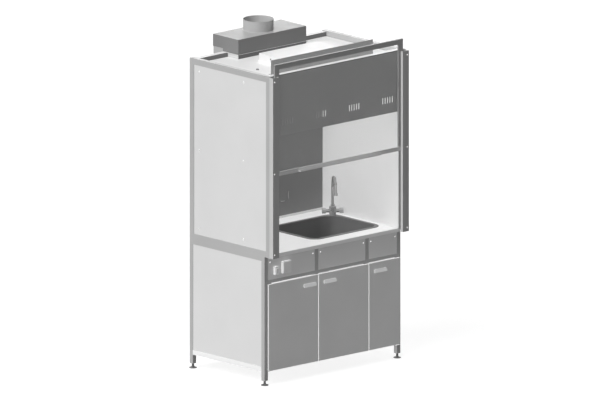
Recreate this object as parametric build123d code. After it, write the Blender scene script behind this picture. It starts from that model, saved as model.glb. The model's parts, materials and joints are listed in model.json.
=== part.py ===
from build123d import *
import os
from math import cos, pi, radians, sin

# A ducted fume hood on a sink cabinet: a glazed chamber with a counterweighted sash, standing on a base
# with three doors, a worktop with a sink and a mixer tap, a lamp box and an exhaust box on the roof.
# Millimetres. X is to the right, Y to the back, Z up. The origin is on the floor, under the middle of
# the hood's overall width and depth.

# --- Overall ---
WIDTH = 1200  # over the side frames
DEPTH = 800  # jamb fronts to the back of the frame
FRAME_TOP = 2070  # top of the side frames
BASE_TOP = 860  # top of the base, where the chamber's frames stand
WORKTOP_Z = 873  # working surface
DUCT_DEPTH = 103  # how far the rear duct stands out behind the frame
FIT = 0.3  # clearance between pieces that drop into each other
RUN = 0.05  # radial clearance of a pin in its bore

HALF = WIDTH / 2
Y_FRONT = -(DEPTH + DUCT_DEPTH) / 2
Y_BACK = Y_FRONT + DEPTH
Y_DUCT = Y_BACK + DUCT_DEPTH

# --- Base frame ---
LEG = 30  # square tube of the base
TUBE_WALL = 2
LEG_Z = 32  # underside of the legs
LEG_PLUG = 20  # solid threaded end of each leg
BASE_SETBACK = 82  # the base's front stands back from the jambs
LOW_RAIL_Z = 92  # underside of the lower side rails
SMALL_BAY = 250  # clear width of the right-hand bay, the other two share the rest
FRONT_RAIL_LOW = 97  # underside of the front frame's bottom rail
MID_RAIL_LOW = 679
MID_RAIL_H = 21
SHEET = 1.5  # folded sheet panels
PANEL_IN = 2  # panels lie this far behind the frame's outer face
PANEL_RETURN = 14  # depth of a panel's folded edge
BOARD = 16  # boards of the cabinet
BACK_BOARD = 4

Y_BASE = Y_FRONT + BASE_SETBACK
INNER = HALF - LEG  # inner face of the legs
BIG_BAY = (2 * INNER - 2 * LEG - SMALL_BAY) / 2
BAYS = [
    (-INNER, -INNER + BIG_BAY),
    (-INNER + BIG_BAY + LEG, -INNER + 2 * BIG_BAY + LEG),
    (INNER - SMALL_BAY, INNER),
]

# --- Feet ---
PAD_R = 25
PAD_H = 6
PAD_EDGE = 2
CONE_R, CONE_H = 15, 6
STEM_R = 8
STEM_UP = 15  # stem above the leg's plug
STEM_PLAY = 0.4  # radial
CUT = 1  # how far a cut runs past the faces it opens

# --- Doors ---
DOOR_T = 18
DOOR_LOW = 98
DOOR_TOP = 675
DOOR_REVEAL = 21.5  # width of the outer legs that the doors leave bare
DOOR_GAP = 7  # between neighbouring doors
DOOR_OFF = 0.5  # between the doors and the frame
PIVOT_R = 3
PIVOT_DEEP = 12  # pivot pin inside the door
PIVOT_PLATE = 2.8
PIVOT_PLATE_L = 25
PIVOT_SHORT = 6  # the plates end this far in front of the frame's inner face
PIVOT_EDGE = 8  # plate beyond the pivot's axis
PULL_L = 105
PULL_H = 20
PULL_OUT = 16
PULL_SHEET = 3
PULL_NOSE = 4  # flat top of the pull before it slopes
PULL_Z = 620  # middle of the pulls
PULL_IN_LEFT, PULL_IN_RIGHT = 42, 24  # from the door's free edge, where it is the left or the right one

# --- Control panels ---
CONTROL_TOP = 843
CONTROL_GAP = 1
CONTROL_RETURN = 12
CONTROL_SCREW_R = 5
CONTROL_SCREW_IN = 18
CONTROL_SCREW_DOWN = 25

# --- Switch and socket on the left control panel ---
SWITCH_X, SWITCH_Z = 48, 730  # left edge from the bay's left side, and underside
SWITCH_W, SWITCH_H, SWITCH_D = 32, 56, 21
ROCKER_W, ROCKER_H, ROCKER_D = 18, 32, 9
ROCKER_REAR_H = 25.6
ROCKER_OUT = 3
ROCKER_TILT = 5
ROCKER_DISH = 1.5
ROCKER_PLAY = 1
ROCKER_PIN_R = 1
SWITCH_R = 3
SOCKET_X, SOCKET_Z = 118, 729
SOCKET_W, SOCKET_H, SOCKET_D = 72, 81, 17
SOCKET_R = 4
WELL_R, WELL_D, WELL_DOWN = 19.5, 12, 2
PIN_HOLE_R, PIN_PITCH = 2.5, 19
LID_T, LID_IN = 4, 3
BARREL_R = 2.5
LID_PIN_R, LID_PIN_L = 1.2, 4
LID_R = 4
EAR_R, EAR_W, EAR_IN = 2, 4, 5

# --- Worktop, sink and drain ---
WORKTOP_T = 25
WORKTOP_NOSE = 17  # overhang in front of the base
WORKTOP_EDGE = 3
UPSTAND_H = 15
SINK_W, SINK_D = 612, 489  # over the rim
SINK_RIGHT = 37  # rim to the base's inner face
SINK_FRONT = 172  # rim to the front of the jambs
SINK_R = 75
SINK_RIM, SINK_RIM_H = 26, 3
LEDGE_R = 144  # the bowl's rear right corner, drawn in to leave a ledge for the tap
SINK_WALL = 3
SINK_PLAY = 1
SINK_LIP = 0.5  # height of the rim's outer edge
SINK_DEEP = 220
SINK_FLOOR_R = 28
DRAIN_R, DRAIN_L = 22, 50
STRAINER_R, STRAINER_T = 34, 2
STRAINER_HOLES, STRAINER_HOLE_R, STRAINER_PITCH_R = 6, 4, 12
TRAP_R, TRAP_H, TRAP_Z, TRAP_WALL = 32, 130, 470, 3
TRAP_PIPE_IN = 30  # inlet pipe inside the drain's tailpiece
TRAP_NUT, TRAP_NUT_H, TRAP_NUT_UP = 3, 16, 18
WASTE_R, WASTE_WALL = 20, 2
WASTE_UP = 95  # waste arm above the trap's foot
WASTE_OUT = 36  # waste pipe behind the frame
WASTE_STOP = 6  # stop ring behind the frame
WASTE_RING, WASTE_RING_L = 2.5, 2
WASTE_PLAY = 2  # hole in the back board

# --- Chamber frame ---
POST_D = 33  # depth of the front posts
REAR_POST_D = 40
RAIL_H = 40
POST_W = LEG
JAMB_D = 35  # jambs in front of the posts
JAMB_W = 54
JAMB_DOWN = 5  # jamb tops below the frame's
JAMB_TOP = FRAME_TOP - JAMB_DOWN
JAMB_LIP = 19  # depth of the jamb's inner lip
JAMB_SCREW_R = 5
JAMB_SCREW_IN = 14
JAMB_SCREW_UP, JAMB_SCREW_DOWN = 25, 27  # lowest and highest screw from the jamb's ends
JAMB_SCREW_MID_DOWN = 38
LINING = 2
BACK_T = 6
ROOF_DOWN = 36
ROOF_Z = FRAME_TOP - ROOF_DOWN
ROOF_T = 2
REAR_RAIL_DOWN = 7
REAR_RAIL_TOP = FRAME_TOP - REAR_RAIL_DOWN
TOP_RAIL_D = 38
GUIDE_HIDDEN = 14  # the guides' edges stand this far behind the sash's stiles
GUIDE_T = 3
GUIDE_LEG = 25
SIDE_SCREW_R = 6.5
SIDE_SCREW_PITCH = 423
SIDE_SCREW_IN = 50
SIDE_SCREW_UP = 42
HEAD_H = 1.5  # screw heads

Y_POST = Y_FRONT + JAMB_D
LINING_X = HALF - POST_W - LINING
Y_WALL = Y_BACK - BACK_T

# --- Fascia with its vent slots ---
FASCIA_LOW = 1662
FASCIA_T = 2
FASCIA_RETURN = 20
FASCIA_DOWN = 8  # below the frame's top
SLOT_W, SLOT_H = 8, 43
SLOT_UP = 67  # above the fascia's lower edge
SLOT_PITCH = 21
SLOT_COUNT = 5
GROUP_PITCH = 295
GROUP_COUNT = 4

# --- Low inlets of the back wall ---
INLET_W, INLET_H = 8, 50
INLET_PITCH = 134
INLET_COUNT = 5
INLET_Z = 992
INLET_GAP_Z, INLET_GAP_H, INLET_GAP_W = 980, 4, 480

# --- Sash ---
SASH_IN_JAMB = 20  # how far the sash reaches into each jamb
SASH_H = 744
SASH_LOW = 1401  # underside of the sash as it stands
SASH_T = 12
SASH_SETBACK = 20
STILE, TOP_BAR, BOTTOM_BAR = 39, 34, 26
GLASS_T, GLASS_IN = 4, 8
GLASS_END_PLAY = 1
GRIP_L, GRIP_OUT, GRIP_T = 714, 18, 3
GRIP_UP, GRIP_BACK_H = 2, 20
GRIP_FLOOR, GRIP_LIP_H, GRIP_BEVEL = 7, 14, 3
SASH_REST_GAP = 3  # above the worktop when closed

# --- Counterweights ---
CABLE_R = 1
PULLEY_R = 17.25  # to the cable's centre
PULLEY_W = 7
PULLEY_FLANGE = 2.5  # flange beyond the cable's centre
PULLEY_RIM_T = 1
CABLE_SEAT = 1.2  # half width of the groove's floor
PULLEY_DOWN = 35  # below the frame's top
AXLE_R = 3
WINDOW_UP, WINDOW_SIDE = 2, 1  # pulley's play in its window
AXLE_SEAT = 2  # axle's reach past each side of its window
WEIGHT_W, WEIGHT_D, WEIGHT_H = 20, 23, 330
WEIGHT_CHAMFER = 4
WEIGHT_CLEAR = 13  # below the pulley when the sash is closed
TAB_T, TAB_D, TAB_OUT, TAB_UP = 8, 16, 8, 4

SASH_W = WIDTH - 2 * (JAMB_W - SASH_IN_JAMB)
GUIDE_X = SASH_W / 2 - STILE + GUIDE_HIDDEN
Y_SASH = Y_FRONT + SASH_SETBACK
CABLE_X = HALF - POST_W / 2
Y_CABLE = Y_POST + POST_D / 2 - 2 * PULLEY_R
PULLEY_Z = FRAME_TOP - PULLEY_DOWN
SASH_DOWN = SASH_LOW - WORKTOP_Z - SASH_REST_GAP
WEIGHT_TOP = PULLEY_Z - PULLEY_R - WEIGHT_CLEAR - SASH_DOWN

# --- Mixer tap ---
TAP_X = 73  # tap's axis to the base's inner face
TAP_BACK = 180  # tap's axis to the back of the frame
TAP_TURN = -125  # where the spout points, from +X
TAP_R, TAP_H, TAP_EDGE = 23, 60, 5
ARM_R, ARM_Z = 12, 30
KNOB_R, KNOB_IN, KNOB_OUT = 18, 46, 70
KNOB_FLUTES, FLUTE_R, FLUTE_PITCH_R = 6, 5, 20
SPINDLE_R, SPINDLE_L = 5, 13
SPOUT_R, SPOUT_WALL = 9.5, 2
SPOUT_UP = 194  # straight riser above the worktop
SPOUT_BEND = 75
SPOUT_DROP = 30
SPOUT_COLLAR_R, SPOUT_COLLAR_H = 13.5, 12
NOZZLE_R, NOZZLE_L = 11.5, 16
SWIVEL_R, SWIVEL_H = 7, 10
SHANK_R, SHANK_PLAY, SHANK_L = 10, 1, 20
SHANK_NUT_R, SHANK_NUT_H = 18, 10
MANIFOLD_DROP, MANIFOLD_H = 32, 14  # block that joins the tails to the shank
TAIL_R, TAIL_L, TAIL_PITCH = 6.5, 60, 36
TAIL_EDGE = 1  # manifold outside the tails

# --- Header sheet and lamp box ---
HEADER_W, HEADER_H = 900, 97
HEADER_BACK = 183  # front face behind the jambs
HEADER_FOOT = 25
LAMP_W, LAMP_H = 512, 60
LAMP_FRONT, LAMP_REAR = 223, 508  # behind the jambs
LAMP_FLARE = 15
LAMP_WINDOW_IN = 12
TUBE_R, TUBE_Y, TUBE_HOLDER = 13, 30, 14
PANE_T = 4
GLAND_R, GLAND_H, GLAND_EDGE = 10, 7, 3
GLAND_HOLE_R, GLAND_FLOOR = 3.5, 2
GLAND_IN, GLAND_BACK = 158, 354  # from the left side frame, behind the jambs

# --- Exhaust ---
BOX_W = 600
BOX_FRONT = 659  # front face behind the jambs
BOX_H = 100
BOX_TOP = REAR_RAIL_TOP + BOX_H
BOX_STEP = 20  # rear part is this much shallower
BOX_STEP_BACK = 7  # step behind the frame
CURB_LIP = 7
CURB_SHEET = 3
PASSAGE_IN = 12  # edge left round each passage
SPIGOT_R, SPIGOT_H = 100, 72
SPIGOT_BACK = 793  # axis behind the jambs
SPIGOT_FLANGE = 6
GROOVE_R, GROOVE_DEEP, GROOVE_DOWN = 2.5, 1, 14
DUCT_LOW = 930
DUCT_FLANGE = 20
DUCT_INTO_BOX, DUCT_BELOW_BOX = 8, 2
DUCT_IN = 2.5  # rear duct inside the box's sides

Y_BOX, Y_SPIGOT = Y_FRONT + BOX_FRONT, Y_FRONT + SPIGOT_BACK


def block(x, y, z):
    """A box between three pairs of planes."""
    spans = [sorted(pair) for pair in (x, y, z)]
    corner = Pos(*[low for low, _ in spans])
    return corner * Box(*[high - low for low, high in spans], align=(Align.MIN,) * 3)


def rod(start, direction, radius, length):
    """A cylinder that begins at a point and runs along a direction."""
    upright = Cylinder(radius, length, align=(Align.CENTER, Align.CENTER, Align.MIN))
    return Plane(origin=start, z_dir=direction) * upright


def inset(span, by):
    """A span drawn in at both ends."""
    return span[0] + by, span[1] - by


def prism(points, x):
    """A closed outline of (y, z) points, extruded between two planes of X."""
    face = make_face(Polyline(*[(0, y, z) for y, z in points], close=True))
    return Pos(min(x), 0, 0) * extrude(face, amount=abs(x[1] - x[0]), dir=(1, 0, 0))


def other_side(shape):
    """The same piece on the left-hand side."""
    return mirror(shape, about=Plane.YZ)


def pair(shape):
    """A right-hand piece and its left-hand twin."""
    return [shape, other_side(shape)]


def pan(x, y, z, wall, axis):
    """A folded sheet panel: a tray whose face is on the low or high side of the axis."""
    spans = {"x": sorted(x), "y": sorted(y), "z": sorted(z)}
    inner = {name: (low + wall, high - wall) for name, (low, high) in spans.items()}
    low, high = spans[axis[1]]
    inner[axis[1]] = (low - CUT, high - wall) if axis[0] == "+" else (low + wall, high + CUT)
    return block(*spans.values()) - block(*inner.values())


def slots(centres, z, width, y, rounded=True):
    """Upright slots through a sheet, one at each X."""
    low, high = z
    shapes = []
    for x in centres:
        outline = SlotOverall(high - low, width, rotation=90) if rounded else Rectangle(width, high - low)
        sketch = Plane(origin=(x, y[0], (low + high) / 2), z_dir=(0, 1, 0), x_dir=(1, 0, 0)) * outline
        shapes.append(extrude(sketch, amount=y[1] - y[0]))
    return shapes


def spread(count, pitch):
    """Positions evenly spaced about zero."""
    return [(i - (count - 1) / 2) * pitch for i in range(count)]


# ---------------------------------------------------------------- base


def base_frame():
    """Right-hand side frame: two legs with threaded ends, joined by the top rail."""
    x = (INNER, HALF)
    feet = (Y_BASE, Y_BACK - LEG)
    inside = inset(x, TUBE_WALL)
    rail = ((Y_BASE, Y_BACK), (BASE_TOP - LEG, BASE_TOP))
    frame = block(x, *rail)
    hollow = block(inside, *[inset(span, TUBE_WALL) for span in rail])
    for y in feet:
        frame += block(x, (y, y + LEG), (LEG_Z, BASE_TOP))
        hollow += block(inside, inset((y, y + LEG), TUBE_WALL), (LEG_Z + LEG_PLUG, BASE_TOP - TUBE_WALL))
        bore = (INNER + LEG / 2, y + LEG / 2, LEG_Z - CUT)
        hollow += rod(bore, (0, 0, 1), STEM_R + STEM_PLAY, LEG_PLUG + 2 * CUT)
    return frame - hollow


def foot(x, y):
    """Levelling foot: pad, cone and threaded stem."""
    pad = fillet(rod((x, y, 0), (0, 0, 1), PAD_R, PAD_H).edges().sort_by(Axis.Z)[-1], PAD_EDGE)
    cone = Pos(x, y, PAD_H) * Cone(CONE_R, STEM_R, CONE_H, align=(Align.CENTER, Align.CENTER, Align.MIN))
    return pad + cone + rod((x, y, PAD_H), (0, 0, 1), STEM_R, LEG_Z + LEG_PLUG + STEM_UP - PAD_H)


def front_frame():
    """Welded ladder behind the doors: two uprights between a bottom, a middle and a top rail."""
    y = (Y_BASE, Y_BASE + LEG)
    top = WORKTOP_Z - WORKTOP_T
    set_back = Y_BASE + CONTROL_RETURN + FIT
    rails = [
        ((-INNER, INNER), y, (FRONT_RAIL_LOW, FRONT_RAIL_LOW + LEG)),
        ((-INNER, INNER), y, (MID_RAIL_LOW, MID_RAIL_LOW + MID_RAIL_H)),
        ((-INNER, INNER), (set_back, y[1]), (top - LEG, top)),
    ]
    uprights = [((BAYS[i][1], BAYS[i + 1][0]), y, (FRONT_RAIL_LOW, top)) for i in range(2)]
    frame = block(*rails[0])
    for member in rails[1:] + uprights:
        frame += block(*member)
    for member in rails + uprights:
        frame -= block(*[inset(span, TUBE_WALL) for span in member])
    for x, y, (low, _) in uprights:
        frame -= block(inset(x, TUBE_WALL), inset(y, TUBE_WALL), (low - CUT, low + LEG))
    return frame


def rear_rails():
    """Upper and lower rails between the rear legs."""
    top = WORKTOP_Z - WORKTOP_T
    y = (Y_BACK - LEG, Y_BACK)
    rails = []
    for z in ((FRONT_RAIL_LOW, FRONT_RAIL_LOW + LEG), (top - LEG, top)):
        hollow = block((-HALF, HALF), inset(y, TUBE_WALL), inset(z, TUBE_WALL))
        rails.append(block((-INNER, INNER), y, z) - hollow)
    return rails


def low_rail():
    """Lower side rail, a channel open to the inside."""
    y = (Y_BASE + LEG, Y_BACK - LEG)
    z = (LOW_RAIL_Z, LOW_RAIL_Z + LEG)
    rail = block((INNER, HALF), y, z)
    return rail - block((INNER - CUT, HALF - TUBE_WALL), inset(y, -CUT), inset(z, TUBE_WALL))


def base_side_panel():
    x = (HALF - PANEL_IN - PANEL_RETURN, HALF - PANEL_IN)
    return pan(x, (Y_BASE + LEG, Y_BACK - LEG), (LOW_RAIL_Z + LEG, BASE_TOP - LEG), SHEET, "+x")


def cabinet_boards():
    """Floor, back and partition of the cabinet."""
    floor_top = FRONT_RAIL_LOW + LEG
    top = WORKTOP_Z - WORKTOP_T
    y = (Y_BASE + LEG, Y_BACK - LEG)
    middle = (BAYS[0][1] + BAYS[1][0]) / 2
    floor = block((-INNER, INNER), y, (floor_top - BOARD, floor_top))
    back = block((-INNER, INNER), (y[1], y[1] + BACK_BOARD), (floor_top, top - LEG))
    waste = (drain_x(), y[1] - CUT, TRAP_Z + WASTE_UP)
    back -= rod(waste, (0, 1, 0), WASTE_R + WASTE_PLAY, BACK_BOARD + 2 * CUT)
    partition = block((middle - BOARD / 2, middle + BOARD / 2), y, (floor_top, top))
    return [floor, back, partition]


def control_panels():
    y = (Y_BASE, Y_BASE + CONTROL_RETURN)
    z = (MID_RAIL_LOW + MID_RAIL_H + CONTROL_GAP, CONTROL_TOP)
    return [pan((left + CONTROL_GAP, right - CONTROL_GAP), y, z, SHEET, "-y") for left, right in BAYS]


# ---------------------------------------------------------------- doors


def door_spans():
    """Left and right edge of each door, and the side that it turns on."""
    centres = [(BAYS[i][1] + BAYS[i + 1][0]) / 2 for i in range(2)]
    edge = HALF - DOOR_REVEAL
    return [
        (-edge, centres[0] - DOOR_GAP / 2, -1),
        (centres[0] + DOOR_GAP / 2, centres[1] - DOOR_GAP / 2, 1),
        (centres[1] + DOOR_GAP / 2, edge, 1),
    ]


def pivot_point(span):
    """X and Y of a door's pivot, half a thickness in from its hinge edge."""
    left, right, side = span
    x = right - DOOR_T / 2 if side > 0 else left + DOOR_T / 2
    return x, Y_BASE - DOOR_OFF - DOOR_T / 2


def door(span):
    """Door board, rounded about its pivot at the back of the hinge edge, with the two pivot holes."""
    left, right, side = span
    x, y = pivot_point(span)
    board = block((left, right), (Y_BASE - DOOR_OFF - DOOR_T, Y_BASE - DOOR_OFF), (DOOR_LOW, DOOR_TOP))
    hinge_edge = board.edges().filter_by(Axis.Z).sort_by(Axis.Y)[-2:].sort_by(Axis.X)[-1 if side > 0 else 0]
    board = fillet(hinge_edge, DOOR_T / 2 - RUN)
    for z, direction in ((DOOR_LOW, 1), (DOOR_TOP, -1)):
        board -= rod((x, y, z - direction * CUT), (0, 0, direction), PIVOT_R + RUN, PIVOT_DEEP + CUT)
    return board


def door_pivots(span, bay):
    """Upper and lower pivot plate of a door, each with its pin."""
    side = span[2]
    x, y = pivot_point(span)
    post = bay[1] if side > 0 else bay[0]
    away = -side * PIVOT_PLATE_L
    plates = []
    for rail in (MID_RAIL_LOW, FRONT_RAIL_LOW):
        z = (rail - PIVOT_PLATE, rail)
        plate = block((x + side * PIVOT_EDGE, x + away), (y - PIVOT_EDGE, Y_BASE), z)
        plate += block((post, post + away), (Y_BASE, Y_BASE + LEG - PIVOT_SHORT), z)
        plates.append(plate)
    plates[0] += rod((x, y, MID_RAIL_LOW - PIVOT_PLATE), (0, 0, -1), PIVOT_R, PIVOT_DEEP)
    plates[1] += rod((x, y, FRONT_RAIL_LOW), (0, 0, 1), PIVOT_R, PIVOT_DEEP)
    return plates


def pull(span):
    """Cup pull on a door: a sloping sheet with closed ends, open below for the fingers."""
    left, right, side = span
    start = left + PULL_IN_LEFT if side > 0 else right - PULL_IN_RIGHT - PULL_L
    y = Y_BASE - DOOR_OFF - DOOR_T
    top, low = PULL_Z + PULL_H / 2, PULL_Z - PULL_H / 2
    outer = [(y, top), (y - PULL_NOSE, top), (y - PULL_OUT, low), (y, low)]
    roof_in = top - PULL_SHEET
    front_in = y - PULL_OUT + PULL_SHEET
    inner = [(y, roof_in), (y - PULL_NOSE + CUT, roof_in), (front_in, low - CUT), (y, low - CUT)]
    x = (start, start + PULL_L)
    return prism(outer, x) - prism(inner, inset(x, PULL_SHEET))


# ---------------------------------------------------------------- switch and socket


def switch_place():
    """Left edge, front face and underside of the switch box."""
    return BAYS[0][0] + SWITCH_X, Y_BASE - SWITCH_D, SWITCH_Z


def rocker_axis():
    x, y, z = switch_place()
    return x + SWITCH_W / 2, y + ROCKER_PIN_R, z + SWITCH_H / 2


def switch_box():
    x, y, z = switch_place()
    box = block((x, x + SWITCH_W), (y, Y_BASE), (z, z + SWITCH_H))
    box = fillet(box.edges().filter_by(Axis.Y), SWITCH_R)
    cx, cy, cz = rocker_axis()
    half_w, half_h = ROCKER_W / 2, ROCKER_H / 2
    well = block((cx - half_w - FIT, cx + half_w + FIT), (y - CUT, y + ROCKER_D + 2 * ROCKER_PLAY),
                 (cz - half_h - ROCKER_PLAY, cz + half_h + ROCKER_PLAY))
    pin = rod((cx - half_w - CUT, cy, cz), (1, 0, 0), ROCKER_PIN_R, ROCKER_W + 2 * CUT)
    return box - well + pin


def rocker():
    """Rocker with a slightly hollow face, tilted to its off side."""
    x, y, z = rocker_axis()
    front = y - ROCKER_PIN_R - ROCKER_OUT
    rear = front + ROCKER_D
    half, half_rear = ROCKER_H / 2, ROCKER_REAR_H / 2
    outline = [(front, z + half), (front + ROCKER_DISH, z), (front, z - half),
               (rear, z - half_rear), (rear, z + half_rear)]
    key = prism(outline, (x - ROCKER_W / 2, x + ROCKER_W / 2))
    key -= rod((x - ROCKER_W / 2 - CUT, y, z), (1, 0, 0), ROCKER_PIN_R + RUN, ROCKER_W + 2 * CUT)
    return key.rotate(Axis((x, y, z), (1, 0, 0)), ROCKER_TILT)


def socket_place():
    """Left edge, front face and underside of the socket box."""
    return BAYS[0][0] + SOCKET_X, Y_BASE - SOCKET_D, SOCKET_Z


def lid_axis():
    x, y, z = socket_place()
    return x + SOCKET_W / 2, y - FIT - BARREL_R, z + SOCKET_H - BARREL_R - LID_IN


def socket_box():
    """Socket body with a round well, two contact holes and the lid's ears."""
    x, y, z = socket_place()
    cx, cz = x + SOCKET_W / 2, z + SOCKET_H / 2 - WELL_DOWN
    box = block((x, x + SOCKET_W), (y, Y_BASE), (z, z + SOCKET_H))
    box = fillet(box.edges().filter_by(Axis.Y), SOCKET_R)
    box -= rod((cx, y - CUT, cz), (0, 1, 0), WELL_R, WELL_D + CUT)
    for dx in (-PIN_PITCH / 2, PIN_PITCH / 2):
        box -= rod((cx + dx, y, cz), (0, 1, 0), PIN_HOLE_R, SOCKET_D - SHEET)
    ax, ay, az = lid_axis()
    reach = SOCKET_W / 2 - LID_IN - EAR_IN
    for side in (-1, 1):
        x_in = ax + side * reach
        box += block((x_in, x_in + side * EAR_W), (ay - EAR_R, y), (az - EAR_R, az + EAR_R))
        box += rod((x_in, ay, az), (-side, 0, 0), LID_PIN_R, LID_PIN_L)
    return box


def socket_lid():
    """Spring lid of the socket with its hinge barrel along the top."""
    x, y, z = socket_place()
    ax, ay, az = lid_axis()
    reach = SOCKET_W / 2 - LID_IN - EAR_IN - FIT
    lid_y = (y - FIT - LID_T, y - FIT)
    shoulder = az - EAR_R - CUT
    plate = block((x + LID_IN, x + SOCKET_W - LID_IN), lid_y, (z + LID_IN, shoulder))
    plate = fillet(plate.edges().filter_by(Axis.Y).sort_by(Axis.Z)[:2], LID_R)
    plate += block((ax - reach, ax + reach), lid_y, (shoulder - CUT, az))
    lid = plate + rod((ax - reach, ay, az), (1, 0, 0), BARREL_R, 2 * reach)
    for side in (-1, 1):
        lid -= rod((ax + side * (reach + CUT), ay, az), (-side, 0, 0), LID_PIN_R + RUN, LID_PIN_L + CUT)
    return lid


# ---------------------------------------------------------------- worktop, sink, drain


def sink_middle():
    return INNER - SINK_RIGHT - SINK_W / 2, Y_FRONT + SINK_FRONT + SINK_D / 2


def drain_x():
    return sink_middle()[0]


def sink_shape(by, low, high):
    """The sink's rounded outline, drawn in by a distance, between two heights."""
    x, y = sink_middle()
    outline = RectangleRounded(SINK_W - 2 * by, SINK_D - 2 * by, SINK_R - by)
    return extrude(Pos(x, y, low) * outline, amount=high - low)


def bowl_shape(by, low, high):
    """The same for the bowl, whose rear right corner is rounder than the rim's."""
    x, y = sink_middle()
    radius = LEDGE_R - by
    corner = Pos(x + SINK_W / 2 - LEDGE_R, y + SINK_D / 2 - LEDGE_R, low)
    square = Rectangle(radius, radius, align=(Align.MIN, Align.MIN))
    return sink_shape(by, low, high) - extrude(corner * (square - Circle(radius)), amount=high - low)


def tap_place():
    return INNER - TAP_X, Y_BACK - TAP_BACK


def worktop():
    """Worktop with its rear upstand, the sink's cut-out and the tap's hole."""
    x = INNER - FIT
    slab = block((-x, x), (Y_BASE - WORKTOP_NOSE, Y_BACK), (WORKTOP_Z - WORKTOP_T, WORKTOP_Z))
    slab = fillet(slab.edges().filter_by(Axis.X).sort_by(Axis.Y)[:2].sort_by(Axis.Z)[-1], WORKTOP_EDGE)
    inside = LINING_X - FIT
    slab += block((-inside, inside), (Y_WALL, Y_BACK), (WORKTOP_Z, WORKTOP_Z + UPSTAND_H))
    below = WORKTOP_Z - WORKTOP_T - CUT
    slab -= bowl_shape(SINK_RIM - SINK_WALL - SINK_PLAY, below, WORKTOP_Z + CUT)
    tx, ty = tap_place()
    return slab - rod((tx, ty, below), (0, 0, 1), SHANK_R + SHANK_PLAY, WORKTOP_T + 2 * CUT)


def sink():
    """Moulded bowl with a rounded rim that lies on the worktop, and a ledge for the tap."""
    floor = WORKTOP_Z - SINK_DEEP
    rim = sink_shape(0, WORKTOP_Z, WORKTOP_Z + SINK_RIM_H)
    rim = fillet(rim.edges().group_by(Axis.Z)[-1], SINK_RIM_H - SINK_LIP)
    bowl = bowl_shape(SINK_RIM - SINK_WALL, floor, WORKTOP_Z)
    bowl = fillet(bowl.edges().group_by(Axis.Z)[0], SINK_FLOOR_R)
    hollow = bowl_shape(SINK_RIM, floor + SINK_WALL, WORKTOP_Z + SINK_RIM_H + CUT)
    hollow = fillet(hollow.edges().group_by(Axis.Z)[0], SINK_FLOOR_R - SINK_WALL)
    x, y = sink_middle()
    tap_hole = rod((*tap_place(), WORKTOP_Z - CUT), (0, 0, 1), SHANK_R + SHANK_PLAY, SINK_RIM_H + 2 * CUT)
    drain = rod((x, y, floor - CUT), (0, 0, 1), DRAIN_R + FIT, SINK_WALL + 2 * CUT)
    return rim + bowl - hollow - drain - tap_hole


def strainer():
    """Drain flange with its holes, and the tailpiece under it."""
    x, y = sink_middle()
    floor = WORKTOP_Z - SINK_DEEP + SINK_WALL
    plate = rod((x, y, floor), (0, 0, 1), STRAINER_R, STRAINER_T)
    plate += rod((x, y, floor - DRAIN_L), (0, 0, 1), DRAIN_R, DRAIN_L)
    plate -= rod((x, y, floor - DRAIN_L - CUT), (0, 0, 1), DRAIN_R - WASTE_WALL, DRAIN_L)
    for i in range(STRAINER_HOLES):
        turn = 2 * pi * i / STRAINER_HOLES
        hole = (x + STRAINER_PITCH_R * cos(turn), y + STRAINER_PITCH_R * sin(turn), floor - 2 * CUT)
        plate -= rod(hole, (0, 0, 1), STRAINER_HOLE_R, STRAINER_T + 3 * CUT)
    return plate


def trap():
    """Bottle trap: inlet pipe up into the tailpiece, and the waste arm out through the back."""
    x, y = sink_middle()
    tail_end = WORKTOP_Z - SINK_DEEP + SINK_WALL - DRAIN_L
    pipe_r = DRAIN_R - WASTE_WALL - FIT
    neck = TRAP_Z + TRAP_H
    arm_y = Y_BACK + WASTE_OUT - y
    arm_z = TRAP_Z + WASTE_UP
    body = rod((x, y, TRAP_Z), (0, 0, 1), TRAP_R, TRAP_H)
    body += rod((x, y, neck), (0, 0, 1), pipe_r, tail_end + TRAP_PIPE_IN - neck)
    body += rod((x, y, neck), (0, 0, 1), DRAIN_R + TRAP_NUT, tail_end - neck)
    body += rod((x, y, arm_z), (0, 1, 0), WASTE_R, arm_y)
    body += rod((x, Y_BACK + WASTE_STOP, arm_z), (0, -1, 0), WASTE_R + WASTE_RING, WASTE_RING_L)
    body += rod((x, y, TRAP_Z + TRAP_NUT_UP), (0, 0, 1), TRAP_R + TRAP_NUT, TRAP_NUT_H)
    body -= rod((x, y, TRAP_Z + TRAP_WALL), (0, 0, 1), TRAP_R - TRAP_WALL, TRAP_H - 2 * TRAP_WALL)
    inlet_low = neck - 2 * TRAP_WALL
    body -= rod((x, y, inlet_low), (0, 0, 1), pipe_r - WASTE_WALL, tail_end + TRAP_PIPE_IN + CUT - inlet_low)
    return body - rod((x, y, arm_z), (0, 1, 0), WASTE_R - WASTE_WALL, arm_y + CUT)


# ---------------------------------------------------------------- chamber


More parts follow.
